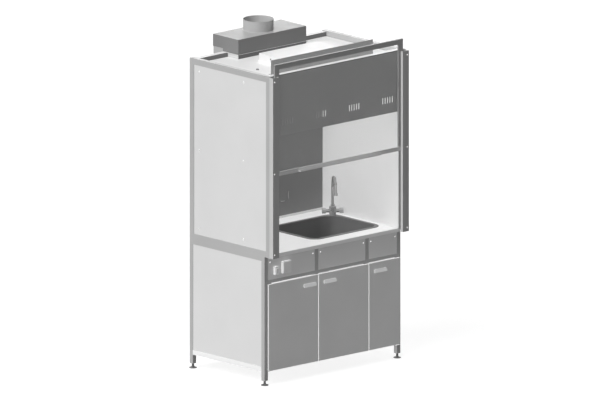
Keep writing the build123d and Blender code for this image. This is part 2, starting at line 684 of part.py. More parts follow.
def upper_frame():
    """Right-hand side frame of the chamber, with the pulley's window and axle in its front post."""
    front = (Y_POST, Y_POST + POST_D)
    rear = (Y_BACK - REAR_POST_D, Y_BACK)
    low = (BASE_TOP, BASE_TOP + RAIL_H)
    high = (FRAME_TOP - RAIL_H, FRAME_TOP)
    members = [(front, (BASE_TOP, FRAME_TOP)), (rear, (BASE_TOP, FRAME_TOP)),
               ((front[0], rear[1]), low), ((front[0], rear[1]), high)]
    frame, hollow = None, None
    for y, z in members:
        tube = block((INNER, HALF), y, z)
        inside = block(inset((INNER, HALF), TUBE_WALL), inset(y, TUBE_WALL), inset(z, TUBE_WALL))
        frame = tube if frame is None else frame + tube
        hollow = inside if hollow is None else hollow + inside
    open_foot = (BASE_TOP - CUT, BASE_TOP + RAIL_H)
    hollow += block(inset((INNER, HALF), TUBE_WALL), inset(rear, TUBE_WALL), open_foot)
    reach = PULLEY_R + PULLEY_FLANGE + WINDOW_UP
    width = PULLEY_W / 2 + WINDOW_SIDE
    window = block((CABLE_X - width, CABLE_X + width), (Y_POST - CUT, Y_POST + TUBE_WALL + CUT),
                   (PULLEY_Z - reach, PULLEY_Z + reach))
    half_axle = width + AXLE_SEAT
    axle = rod((CABLE_X - half_axle, Y_CABLE + PULLEY_R, PULLEY_Z), (1, 0, 0), AXLE_R, 2 * half_axle)
    return frame - hollow - window + axle


def upper_side_panel():
    x = (HALF - PANEL_IN - PANEL_RETURN, HALF - PANEL_IN)
    z = (BASE_TOP + RAIL_H, FRAME_TOP - RAIL_H)
    return pan(x, (Y_POST + POST_D, Y_BACK - REAR_POST_D), z, SHEET, "+x")


def lining():
    """Inner side sheet of the chamber."""
    return block((LINING_X, LINING_X + LINING), (Y_POST, Y_BACK), (WORKTOP_Z, rear_rail_z()[0]))


def back_wall():
    """Back panel of the chamber with its low air inlets."""
    y = (Y_WALL, Y_BACK)
    wall = block((-LINING_X, LINING_X), y, (WORKTOP_Z + UPSTAND_H, rear_rail_z()[0]))
    through = inset(y, -CUT)
    inlets = spread(INLET_COUNT, INLET_PITCH)
    for cut in slots(inlets, (INLET_Z, INLET_Z + INLET_H), INLET_W, through, rounded=False):
        wall -= cut
    gap_x = (-INLET_GAP_W / 2, INLET_GAP_W / 2)
    return wall - block(gap_x, through, (INLET_GAP_Z, INLET_GAP_Z + INLET_GAP_H))


def rear_rail_z():
    return REAR_RAIL_TOP - POST_D, REAR_RAIL_TOP


def top_rails():
    """Front and rear rails that tie the side frames together at the roof."""
    front_y = (Y_POST + FASCIA_T, Y_POST + FASCIA_T + TOP_RAIL_D)
    rear_y = (Y_BACK - REAR_POST_D, Y_BACK)
    rails = []
    for y, z in ((front_y, (ROOF_Z, FRAME_TOP)), (rear_y, rear_rail_z())):
        hollow = block((-HALF, HALF), inset(y, TUBE_WALL), inset(z, TUBE_WALL))
        rails.append(block((-INNER, INNER), y, z) - hollow)
    return rails


def roof():
    """Roof sheet with the lamp's window and the exhaust passage."""
    sheet = block((-INNER, INNER), (Y_POST + FASCIA_T, Y_BACK - REAR_POST_D), (ROOF_Z - ROOF_T, ROOF_Z))
    through = (ROOF_Z - ROOF_T - CUT, ROOF_Z + CUT)
    return sheet - block(*lamp_window(LAMP_WINDOW_IN), through) - block(*curb_passage(), through)


def fascia():
    """Front sheet above the sash opening, with four groups of vent slots."""
    x = LINING_X - FIT
    y = (Y_POST, Y_POST + FASCIA_T)
    sheet = block((-x, x), y, (FASCIA_LOW, FRAME_TOP - FASCIA_DOWN))
    sheet += block((-x, x), (y[0], y[0] + FASCIA_RETURN), (FASCIA_LOW, FASCIA_LOW + FASCIA_T))
    low = FASCIA_LOW + SLOT_UP
    groups = spread(GROUP_COUNT, GROUP_PITCH)
    centres = [group + slot for group in groups for slot in spread(SLOT_COUNT, SLOT_PITCH)]
    for cut in slots(centres, (low, low + SLOT_H), SLOT_W, inset(y, -CUT)):
        sheet -= cut
    return sheet


def jamb_screw_heights():
    """Heights of a jamb's screws: near its foot, at mid height and near its top."""
    low, high = BASE_TOP + JAMB_SCREW_UP, JAMB_TOP - JAMB_SCREW_DOWN
    return [low, (low + high) / 2 - JAMB_SCREW_MID_DOWN, high]


def jamb():
    """Right-hand jamb: a folded channel that the sash runs in, with sunk screw seats."""
    y_back = Y_FRONT + JAMB_D
    inner = HALF - JAMB_W
    body = block((inner, HALF), (Y_FRONT, y_back), (BASE_TOP, JAMB_TOP))
    z = (BASE_TOP + TUBE_WALL, JAMB_TOP + CUT)
    body -= block(inset((inner, HALF), TUBE_WALL), (Y_FRONT + TUBE_WALL, y_back + CUT), z)
    body -= block((inner - CUT, inner + TUBE_WALL + CUT), (Y_FRONT + JAMB_LIP, y_back + CUT), z)
    fixing = CABLE_X + PULLEY_W / 2 + WINDOW_SIDE + AXLE_SEAT + FIT
    body += block((fixing, HALF), (y_back - TUBE_WALL, y_back), (BASE_TOP, JAMB_TOP))
    for screw_z in jamb_screw_heights():
        seat = (HALF - JAMB_SCREW_IN, Y_FRONT - CUT, screw_z)
        body -= rod(seat, (0, 1, 0), JAMB_SCREW_R + FIT, HEAD_H + CUT)
    return body


def sash_guide():
    """Angle behind the sash that closes the side of the opening."""
    z = (WORKTOP_Z, FASCIA_LOW)
    angle = block((GUIDE_X, LINING_X), (Y_POST, Y_POST + GUIDE_T), z)
    return angle + block((LINING_X - GUIDE_T, LINING_X), (Y_POST, Y_POST + GUIDE_LEG), z)


def screws():
    """Heads of the screws in the side panels, the control panels and the jambs."""
    heads = []
    side_y = [Y_BACK - REAR_POST_D - SIDE_SCREW_IN - i * SIDE_SCREW_PITCH for i in range(2)]
    low, high = BASE_TOP + RAIL_H + SIDE_SCREW_UP, FRAME_TOP - RAIL_H - SIDE_SCREW_UP
    for y in side_y:
        for z in (low, (low + high) / 2, high):
            heads += pair(rod((HALF - PANEL_IN, y, z), (1, 0, 0), SIDE_SCREW_R, HEAD_H))
    for left, right in BAYS:
        for x in (left + CONTROL_SCREW_IN, right - CONTROL_SCREW_IN):
            seat = (x, Y_BASE, CONTROL_TOP - CONTROL_SCREW_DOWN)
            heads.append(rod(seat, (0, -1, 0), CONTROL_SCREW_R, HEAD_H))
    for z in jamb_screw_heights():
        heads += pair(rod((HALF - JAMB_SCREW_IN, Y_FRONT + HEAD_H, z), (0, -1, 0), JAMB_SCREW_R, HEAD_H))
    return heads


# ---------------------------------------------------------------- sash and counterweights


def sash_frame():
    """Frame of the sash, grooved for the glass, with a cable tab at each lower corner."""
    half = SASH_W / 2
    top = SASH_LOW + SASH_H
    y = (Y_SASH, Y_SASH + SASH_T)
    frame = block((-half, half), y, (SASH_LOW, top))
    frame -= block((-half + STILE, half - STILE), inset(y, -CUT), (SASH_LOW + BOTTOM_BAR, top - TOP_BAR))
    middle = sum(y) / 2
    groove = GLASS_T / 2 + FIT
    deep = GLASS_IN + GLASS_END_PLAY
    frame -= block((-half + STILE - deep, half - STILE + deep), (middle - groove, middle + groove),
                   (SASH_LOW + BOTTOM_BAR - deep, top - TOP_BAR + deep))
    tab = block((half, CABLE_X + TAB_OUT), (Y_CABLE - TAB_D / 2, Y_CABLE + TAB_D / 2),
                (SASH_LOW + TAB_UP, SASH_LOW + TAB_UP + TAB_T))
    return frame + tab + other_side(tab)


def sash_glass():
    half = SASH_W / 2 - STILE + GLASS_IN
    middle = Y_SASH + SASH_T / 2
    z = (SASH_LOW + BOTTOM_BAR - GLASS_IN, SASH_LOW + SASH_H - TOP_BAR + GLASS_IN)
    return block((-half, half), (middle - GLASS_T / 2, middle + GLASS_T / 2), z)


def sash_grip():
    """Turned-up grip along the sash's bottom bar."""
    low = SASH_LOW + GRIP_UP
    back, front = Y_SASH - GRIP_T, Y_SASH - GRIP_OUT
    outline = [
        (Y_SASH, low), (Y_SASH, low + GRIP_BACK_H), (back, low + GRIP_BACK_H), (back, low + GRIP_FLOOR),
        (front + GRIP_T, low + GRIP_FLOOR), (front + GRIP_T, low + GRIP_LIP_H),
        (front, low + GRIP_LIP_H), (front, low + GRIP_BEVEL), (front + GRIP_BEVEL, low),
    ]
    return prism(outline, (-GRIP_L / 2, GRIP_L / 2))


def pulley():
    """Grooved wheel of the right-hand cable."""
    rim = PULLEY_R + PULLEY_FLANGE
    seat = PULLEY_R - CABLE_R - FIT
    half = PULLEY_W / 2
    flange = half - PULLEY_RIM_T
    outline = [(AXLE_R + RUN, -half), (rim, -half), (rim, -flange), (seat, -CABLE_SEAT), (seat, CABLE_SEAT),
               (rim, flange), (rim, half), (AXLE_R + RUN, half)]
    face = make_face(Polyline(*[(0, r, a) for r, a in outline], close=True))
    wheel = revolve(face, Axis.Z)
    return Pos(CABLE_X, Y_CABLE + PULLEY_R, PULLEY_Z) * Rot(0, 90, 0) * wheel


def weight():
    """Counterweight bar inside the right-hand front post."""
    y = Y_CABLE + 2 * PULLEY_R
    bar = block((CABLE_X - WEIGHT_W / 2, CABLE_X + WEIGHT_W / 2), (y - WEIGHT_D / 2, y + WEIGHT_D / 2),
                (WEIGHT_TOP - WEIGHT_H, WEIGHT_TOP))
    return chamfer(bar.edges().group_by(Axis.Z)[-1], WEIGHT_CHAMFER)


def cable():
    """Right-hand sash cable: up from the tab, over the pulley and down to the weight."""
    front, rear = Y_CABLE, Y_CABLE + 2 * PULLEY_R
    anchor = SASH_LOW + TAB_UP + TAB_T
    path = Line((CABLE_X, front, anchor), (CABLE_X, front, PULLEY_Z))
    path += ThreePointArc((CABLE_X, front, PULLEY_Z), (CABLE_X, front + PULLEY_R, PULLEY_Z + PULLEY_R),
                          (CABLE_X, rear, PULLEY_Z))
    path += Line((CABLE_X, rear, PULLEY_Z), (CABLE_X, rear, WEIGHT_TOP))
    return sweep(Plane(origin=(CABLE_X, front, anchor), z_dir=(0, 0, 1)) * Circle(CABLE_R), path=path)


# ---------------------------------------------------------------- mixer tap


def tap_frame():
    """The tap's own frame: its foot on the sink's ledge, its X along the spout."""
    x, y = tap_place()
    return Pos(x, y, WORKTOP_Z + SINK_RIM_H) * Rot(0, 0, TAP_TURN)


def tap_body():
    """Body with the cross arms, the knobs' spindles, the swivel post, the shank and two inlet tails."""
    body = rod((0, 0, 0), (0, 0, 1), TAP_R, TAP_H)
    body = fillet(body.edges().group_by(Axis.Z)[-1], TAP_EDGE)
    body += rod((0, 0, TAP_H), (0, 0, 1), SWIVEL_R, SWIVEL_H)
    under = -SINK_RIM_H - WORKTOP_T
    body += rod((0, 0, under - SHANK_L), (0, 0, 1), SHANK_R, SHANK_L - under)
    body += rod((0, 0, under - SHANK_NUT_H), (0, 0, 1), SHANK_NUT_R, SHANK_NUT_H)
    manifold_low = under - MANIFOLD_DROP
    body += rod((0, 0, manifold_low), (0, 0, 1), TAIL_PITCH / 2 + TAIL_R + TAIL_EDGE, MANIFOLD_H)
    for side in (-1, 1):
        body += rod((0, 0, ARM_Z), (0, side, 0), ARM_R, KNOB_IN - FIT)
        body += rod((0, side * (KNOB_IN - CUT), ARM_Z), (0, side, 0), SPINDLE_R, SPINDLE_L + CUT)
        body += rod((0, side * TAIL_PITCH / 2, manifold_low + 2 * CUT), (0, 0, -1), TAIL_R, TAIL_L)
    return tap_frame() * body


def knob(side):
    """Fluted knob on one end of the cross arm."""
    grip = rod((0, side * KNOB_IN, ARM_Z), (0, side, 0), KNOB_R, KNOB_OUT - KNOB_IN)
    start = side * (KNOB_IN - CUT)
    for i in range(KNOB_FLUTES):
        turn = 2 * pi * i / KNOB_FLUTES
        flute = (FLUTE_PITCH_R * cos(turn), start, ARM_Z + FLUTE_PITCH_R * sin(turn))
        grip -= rod(flute, (0, side, 0), FLUTE_R, KNOB_OUT - KNOB_IN + 2 * CUT)
    grip -= rod((0, start, ARM_Z), (0, side, 0), SPINDLE_R + RUN, SPINDLE_L + 2 * CUT)
    return tap_frame() * grip


def spout():
    """Swan-neck spout that turns on the body's post."""
    start = TAP_H + FIT
    bend_x = 2 * SPOUT_BEND
    path = Line((0, 0, start), (0, 0, SPOUT_UP))
    path += ThreePointArc((0, 0, SPOUT_UP), (SPOUT_BEND, 0, SPOUT_UP + SPOUT_BEND), (bend_x, 0, SPOUT_UP))
    path += Line((bend_x, 0, SPOUT_UP), (bend_x, 0, SPOUT_UP - SPOUT_DROP))
    tube = sweep(Plane(origin=(0, 0, start), z_dir=(0, 0, 1)) * Circle(SPOUT_R), path=path)
    tube += rod((0, 0, start), (0, 0, 1), SPOUT_COLLAR_R, SPOUT_COLLAR_H)
    tip = SPOUT_UP - SPOUT_DROP
    tube += rod((bend_x, 0, tip), (0, 0, 1), NOZZLE_R, NOZZLE_L)
    tube -= rod((bend_x, 0, tip - CUT), (0, 0, 1), SPOUT_R - SPOUT_WALL, NOZZLE_L)
    tube -= rod((0, 0, start - CUT), (0, 0, 1), SWIVEL_R + RUN, SWIVEL_H + 2 * CUT)
    return tap_frame() * tube


# ---------------------------------------------------------------- lamp


def header_sheet():
    """Upright sheet across the roof behind the raised sash, with a foot turned to the back."""
    half = HEADER_W / 2
    front = Y_FRONT + HEADER_BACK
    upright = block((-half, half), (front, front + SHEET), (ROOF_Z, ROOF_Z + HEADER_H))
    return upright + block((-half, half), (front, front + HEADER_FOOT), (ROOF_Z, ROOF_Z + SHEET))


def lamp_window(by):
    """X and Y spans of the lamp box's plan, drawn in by a distance."""
    return inset((-LAMP_W / 2, LAMP_W / 2), by), inset((Y_FRONT + LAMP_FRONT, Y_FRONT + LAMP_REAR), by)


def lamp_housing():
    """Flat sheet box over the lamp's window, with flared skirts at its ends and rear."""
    x, y = lamp_window(0)
    shell = block(x, y, (ROOF_Z, ROOF_Z + LAMP_H))
    end = [(x[1], y[0], ROOF_Z), (x[1] + LAMP_FLARE, y[0], ROOF_Z), (x[1], y[0], ROOF_Z + LAMP_FLARE)]
    skirt = extrude(make_face(Polyline(*end, close=True)), amount=y[1] - y[0], dir=(0, 1, 0))
    for side in pair(skirt):
        shell += side
    rear = [(y[1], ROOF_Z), (y[1] + LAMP_FLARE, ROOF_Z), (y[1], ROOF_Z + LAMP_FLARE)]
    shell += prism(rear, x)
    return shell - block(*lamp_window(SHEET), (ROOF_Z - CUT, ROOF_Z + LAMP_H - SHEET))


def lamp_tubes():
    """Two tube lamps between their holders."""
    end = LAMP_W / 2 - SHEET
    middle = Y_FRONT + (LAMP_FRONT + LAMP_REAR) / 2
    z = ROOF_Z + LAMP_H / 2
    half_tube = end - TUBE_HOLDER
    tubes = [rod((-half_tube, middle + dy, z), (1, 0, 0), TUBE_R, 2 * half_tube) for dy in (-TUBE_Y, TUBE_Y)]
    y = (middle - TUBE_Y - TUBE_R, middle + TUBE_Y + TUBE_R)
    return tubes + pair(block((half_tube, end), y, (z - TUBE_R, z + TUBE_R)))


def lamp_pane():
    """Glass pane under the roof that closes the lamp box off from the chamber."""
    return block(*lamp_window(0), (ROOF_Z - ROOF_T - PANE_T, ROOF_Z - ROOF_T))


def cable_gland():
    """Gland in the roof for the lamp's lead."""
    x, y = GLAND_IN - INNER, Y_FRONT + GLAND_BACK
    gland = rod((x, y, ROOF_Z), (0, 0, 1), GLAND_R, GLAND_H)
    gland = fillet(gland.edges().group_by(Axis.Z)[-1], GLAND_EDGE)
    return gland - rod((x, y, ROOF_Z + GLAND_FLOOR), (0, 0, 1), GLAND_HOLE_R, GLAND_H)


# ---------------------------------------------------------------- exhaust


def curb_passage():
    """X and Y spans of the passage from the roof into the exhaust box."""
    half = BOX_W / 2 - PASSAGE_IN
    return (-half, half), (Y_BOX + PASSAGE_IN, Y_BACK - REAR_POST_D - PASSAGE_IN)


def exhaust_curb():
    """Collar round the roof's exhaust passage, with a lip under the box."""
    half = BOX_W / 2
    rear = Y_BACK - REAR_POST_D
    walls = block((-half, half), (Y_BOX, rear), (ROOF_Z, REAR_RAIL_TOP))
    lip_z = (REAR_RAIL_TOP - CURB_SHEET, REAR_RAIL_TOP)
    walls += block((-half - CURB_LIP, half + CURB_LIP), (Y_BOX - CURB_LIP, rear), lip_z)
    through = (ROOF_Z - CUT, REAR_RAIL_TOP + CUT)
    return walls - block(inset((-half, half), CURB_SHEET), inset((Y_BOX, rear), CURB_SHEET), through)


def exhaust_box():
    """Stepped sheet box over the roof passage and the rear duct, with the spigot's hole."""
    step = Y_BACK + BOX_STEP_BACK
    low, mid = REAR_RAIL_TOP, REAR_RAIL_TOP + BOX_STEP

    def profile(t):
        return [(Y_BOX + t, low + t), (step - t, low + t), (step - t, mid + t), (Y_DUCT - t, mid + t),
                (Y_DUCT - t, BOX_TOP - t), (Y_BOX + t, BOX_TOP - t)]

    half = BOX_W / 2
    box = prism(profile(0), (-half, half)) - prism(profile(SHEET), (-half + SHEET, half - SHEET))
    box -= block(*curb_passage(), (low - CUT, low + SHEET + CUT))
    duct_half = half - DUCT_IN + FIT
    box -= block((-duct_half, duct_half), (step + FIT, Y_DUCT - SHEET), (mid - CUT, mid + SHEET + CUT))
    return box - rod((0, Y_SPIGOT, BOX_TOP - SHEET - CUT), (0, 0, 1), SPIGOT_R - SHEET, SHEET + 2 * CUT)


def duct_spigot():
    """Round spigot for the extract duct, with a rolled groove under its end."""
    at = (0, Y_SPIGOT, BOX_TOP)
    groove_at = Pos(0, Y_SPIGOT, BOX_TOP + SPIGOT_H - GROOVE_DOWN)
    groove_middle = SPIGOT_R - GROOVE_DEEP + GROOVE_R
    ring = rod(at, (0, 0, 1), SPIGOT_R, SPIGOT_H) + rod(at, (0, 0, 1), SPIGOT_R + SPIGOT_FLANGE, SHEET)
    ring -= rod((0, Y_SPIGOT, BOX_TOP - CUT), (0, 0, 1), SPIGOT_R - SHEET, SPIGOT_H + 2 * CUT)
    ring += groove_at * Torus(groove_middle, GROOVE_R + SHEET) & groove_at * Cylinder(SPIGOT_R, 2 * GROOVE_R)
    return ring - groove_at * Torus(groove_middle, GROOVE_R)


def rear_duct():
    """Flat duct up the back, open to the back wall's inlets, that ends inside the exhaust box.

    It is joined from a rear sheet, a bottom sheet and two flanged side sheets.
    """
    half = BOX_W / 2 - DUCT_IN
    rear = (Y_DUCT - DUCT_IN - SHEET, Y_DUCT - DUCT_IN)
    y = (Y_BACK, rear[0])
    top = REAR_RAIL_TOP + BOX_STEP + DUCT_INTO_BOX
    flange_top = rear_rail_z()[0]
    side = block((half - SHEET, half), y, (DUCT_LOW, top))
    side += block((half, half + DUCT_FLANGE), (Y_BACK, Y_BACK + SHEET), (DUCT_LOW, flange_top))
    notch_y = (Y_BACK - CUT, Y_BACK + BOX_STEP_BACK + 2 * FIT)
    side -= block((half - SHEET - CUT, half + CUT), notch_y, (REAR_RAIL_TOP - DUCT_BELOW_BOX, top + CUT))
    bottom = block((-half + SHEET, half - SHEET), y, (DUCT_LOW, DUCT_LOW + SHEET))
    return [block((-half, half), rear, (DUCT_LOW, top)), bottom] + pair(side)


# ---------------------------------------------------------------- nodes


def legs():
    """Middle of each foot, from the front left."""
    ys = (Y_BASE + LEG / 2, Y_BACK - LEG / 2)
    return [(name_y + "_" + name_x, x, y) for name_y, y in zip(("front", "rear"), ys)
            for name_x, x in (("left", -HALF + LEG / 2), ("right", HALF - LEG / 2))]


def nodes():
    """Every sub-part by name, each one solid or a list of solids."""
    spans = door_spans()
    parts = {
        "base_frame_left": other_side(base_frame()),
        "base_frame_right": base_frame(),
        "base_front_frame": front_frame(),
        "base_rear_rails": rear_rails(),
        "base_low_rails": pair(low_rail()),
        "base_side_panels": pair(base_side_panel()),
        "cabinet_boards": cabinet_boards(),
        "control_panels": control_panels(),
        "door_pivots": [plate for span, bay in zip(spans, BAYS) for plate in door_pivots(span, bay)],
        "switch_box": switch_box(),
        "switch_rocker": rocker(),
        "socket_box": socket_box(),
        "socket_lid": socket_lid(),
        "worktop": worktop(),
        "sink": sink(),
        "sink_strainer": strainer(),
        "sink_trap": trap(),
        "upper_frame_left": other_side(upper_frame()),
        "upper_frame_right": upper_frame(),
        "upper_side_panels": pair(upper_side_panel()),
        "side_linings": pair(lining()),
        "back_wall": back_wall(),
        "top_rails": top_rails(),
        "roof": roof(),
        "fascia": fascia(),
        "jamb_left": other_side(jamb()),
        "jamb_right": jamb(),
        "sash_guides": pair(sash_guide()),
        "screws": screws(),
        "sash_frame": sash_frame(),
        "sash_glass": sash_glass(),
        "sash_grip": sash_grip(),
        "pulley_left": other_side(pulley()),
        "pulley_right": pulley(),
        "weight_left": other_side(weight()),
        "weight_right": weight(),
        "sash_cables": pair(cable()),
        "tap_body": tap_body(),
        "tap_spout": spout(),
        "tap_knob_hot": knob(-1),
        "tap_knob_cold": knob(1),
        "header_sheet": header_sheet(),
        "lamp_housing": lamp_housing(),
        "lamp_tubes": lamp_tubes(),
        "lamp_pane": lamp_pane(),
        "cable_gland": cable_gland(),
        "exhaust_curb": exhaust_curb(),
        "exhaust_box": exhaust_box(),
        "duct_spigot": duct_spigot(),
        "rear_duct": rear_duct(),
    }
    for name, span in zip(("left", "middle", "right"), spans):
        parts["door_" + name] = door(span)
        parts["pull_" + name] = pull(span)
    for name, x, y in legs():
        parts["foot_" + name] = foot(x, y)
    return parts


if __name__ == "__main__":
    os.makedirs("parts", exist_ok=True)
    for node, shape in nodes().items():
        solids = shape if isinstance(shape, list) else [shape]
        whole = solids[0] if len(solids) == 1 else Compound(children=solids)
        export_step(whole, f"parts/{node}.step")
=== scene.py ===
"""Fume hood: finishes, small fixings, floor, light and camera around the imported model."""

import json
import math

import bmesh
import bpy
from mathutils import Matrix, Vector


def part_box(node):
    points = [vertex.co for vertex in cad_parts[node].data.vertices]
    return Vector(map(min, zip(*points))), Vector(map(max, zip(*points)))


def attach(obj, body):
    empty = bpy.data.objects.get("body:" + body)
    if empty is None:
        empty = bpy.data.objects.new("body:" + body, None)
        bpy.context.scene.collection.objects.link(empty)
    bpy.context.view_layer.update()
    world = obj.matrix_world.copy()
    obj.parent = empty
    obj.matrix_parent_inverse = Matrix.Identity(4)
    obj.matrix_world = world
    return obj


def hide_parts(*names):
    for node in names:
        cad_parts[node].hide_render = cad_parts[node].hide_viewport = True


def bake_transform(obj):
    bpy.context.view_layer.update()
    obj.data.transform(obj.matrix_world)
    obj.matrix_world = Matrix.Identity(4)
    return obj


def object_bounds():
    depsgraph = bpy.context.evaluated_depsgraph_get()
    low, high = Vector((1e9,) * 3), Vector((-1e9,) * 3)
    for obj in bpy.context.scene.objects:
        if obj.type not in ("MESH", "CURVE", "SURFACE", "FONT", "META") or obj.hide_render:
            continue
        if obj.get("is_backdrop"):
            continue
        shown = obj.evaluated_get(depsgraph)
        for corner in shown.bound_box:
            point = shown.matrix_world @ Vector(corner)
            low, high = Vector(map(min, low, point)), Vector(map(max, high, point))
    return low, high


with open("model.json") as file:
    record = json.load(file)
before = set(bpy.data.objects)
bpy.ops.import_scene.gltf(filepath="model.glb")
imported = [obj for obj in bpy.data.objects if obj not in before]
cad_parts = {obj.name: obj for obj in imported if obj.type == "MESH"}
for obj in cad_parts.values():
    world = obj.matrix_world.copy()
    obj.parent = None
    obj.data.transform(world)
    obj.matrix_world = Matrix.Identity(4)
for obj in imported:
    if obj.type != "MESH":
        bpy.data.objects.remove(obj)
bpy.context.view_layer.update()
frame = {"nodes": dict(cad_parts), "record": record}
NODES = frame["nodes"]
MM = 0.001
SASH_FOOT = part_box("sash_frame")[0].z

# ---------------------------------------------------------------- finishes

# colour: linear grey
# rough, metal, shine: the shader's roughness, metallic and specular level
# vary: how much the colour varies, bump: the relief in mm
# wear pales the edges, fleck adds dark specks, and painted light pales what faces up, in cloudy patches
# streak: how brushed lines are squeezed along x, y and z
# seam and corner are painted shade: they darken narrow gaps and wide corners
# front: painted shade, the factor on what faces the user
# handled: height and gain of the strip at the sash's foot that hands have polished
FINISHES = {
    "frame_grey": dict(colour=0.46, rough=0.50, vary=0.03, bump=0.05, wear=0.22, seam_shade=0.45, top_light=0.25,
                       front=0.85),
    "jamb_grey": dict(colour=0.58, rough=0.48, vary=0.03, bump=0.05, wear=0.08, seam_shade=0.45, front=0.62),
    "panel_light": dict(colour=0.73, rough=0.52, vary=0.02, bump=0.05, wear=0.03, seam_shade=0.45),
    "panel_white": dict(colour=0.77, rough=0.50, vary=0.02, bump=0.05, wear=0.02, seam_shade=0.20),
    "rail_white": dict(colour=0.92, rough=0.50, vary=0.01, bump=0.05),
    "roof_white": dict(colour=0.74, rough=0.50, vary=0.02, bump=0.05, seam_shade=0.25, front=0.26),
    "curb_white": dict(colour=0.62, rough=0.50, vary=0.02, bump=0.05, seam_shade=0.25, front=0.26),
    "header_grey": dict(colour=0.38, rough=0.50, vary=0.02, bump=0.05, wear=0.08),
    "lining_light": dict(colour=0.80, rough=0.50, vary=0.02, bump=0.04, corner=0.18),
    "board_light": dict(colour=0.74, rough=0.45, vary=0.03, bump=0.03, fleck=0.05),
    "worktop_resin": dict(colour=0.86, rough=0.40, vary=0.02, bump=0.02, fleck=0.06, seam_shade=0.30, corner=0.15),
    "wall_grey": dict(colour=0.22, rough=0.50, vary=0.03, bump=0.03, fleck=0.05),
    "fascia_grey": dict(colour=0.39, rough=0.50, vary=0.02, bump=0.05, wear=0.08, seam_shade=0.35),
    "duct_metal": dict(colour=0.22, rough=0.50, vary=0.04, bump=0.05, wear=0.08, seam_shade=0.35, top_light=0.70),
    "duct_grey": dict(colour=0.46, rough=0.50, vary=0.03, bump=0.05, wear=0.10, seam_shade=0.35, front=0.35),
    "spigot_metal": dict(colour=0.46, rough=0.50, shine=0.15, vary=0.06, bump=0.02, streak=(3, 3, 160)),
    "sink_polymer": dict(colour=0.155, rough=0.42, vary=0.06, bump=0.08),
    "drain_plastic": dict(colour=0.75, rough=0.40, vary=0.03, bump=0.02),
    "stainless": dict(colour=0.90, rough=0.20, metal=1.0, shine=0.5, vary=0.05, bump=0.02,
                      streak=(220, 12, 12)),
    "tap_metal": dict(colour=0.39, rough=0.28, metal=0.55, shine=0.5, vary=0.03, bump=0.01),
    "knob_grey": dict(colour=0.42, rough=0.45, vary=0.04, bump=0.05),
    "fitting_white": dict(colour=0.90, rough=0.32, shine=0.4, vary=0.015, bump=0.02),
    "fitting_grey": dict(colour=0.80, rough=0.34, shine=0.4, vary=0.015, bump=0.02),
    "pull_grey": dict(colour=0.70, rough=0.42, vary=0.02, bump=0.04),
    "sash_aluminium": dict(colour=0.33, rough=0.45, shine=0.15, vary=0.04, bump=0.015,
                           streak=(6, 220, 220), handled=(0.014, 1.9)),
    "grip_aluminium": dict(colour=0.54, rough=0.38, metal=0.20, shine=0.4, vary=0.04, bump=0.015,
                           streak=(6, 220, 220)),
    "weight_iron": dict(colour=0.10, rough=0.70, vary=0.15, bump=0.25),
    "pulley_plastic": dict(colour=0.05, rough=0.40, vary=0.05, bump=0.02),
    "gland_rubber": dict(colour=0.24, rough=0.65, vary=0.08, bump=0.06),
    "foot_steel": dict(colour=0.13, rough=0.42, metal=0.30, vary=0.08, bump=0.04),
}

# features per metre of the noises
TOP_LIGHT_CLOUDS, CLOUDS, GLOSS_CLOUDS = 9.0, 3.0, 14.0
STREAKS, WIPES, SCUFFS = 4.0, 5.0, 60.0
GRAIN, RELIEF, FLECKS = 420.0, 650.0, 900.0
NOISE_BAND = (0.3, 0.7)  # where nearly all of a noise's values lie
EDGE_WIDTH = 1.2 * MM
SEAM_REACH, CORNER_REACH = 12 * MM, 200 * MM
BUMP_STRENGTH = 0.6
GLASS_COLOUR, GLASS_IOR = (0.97, 0.972, 0.97, 1.0), 1.20


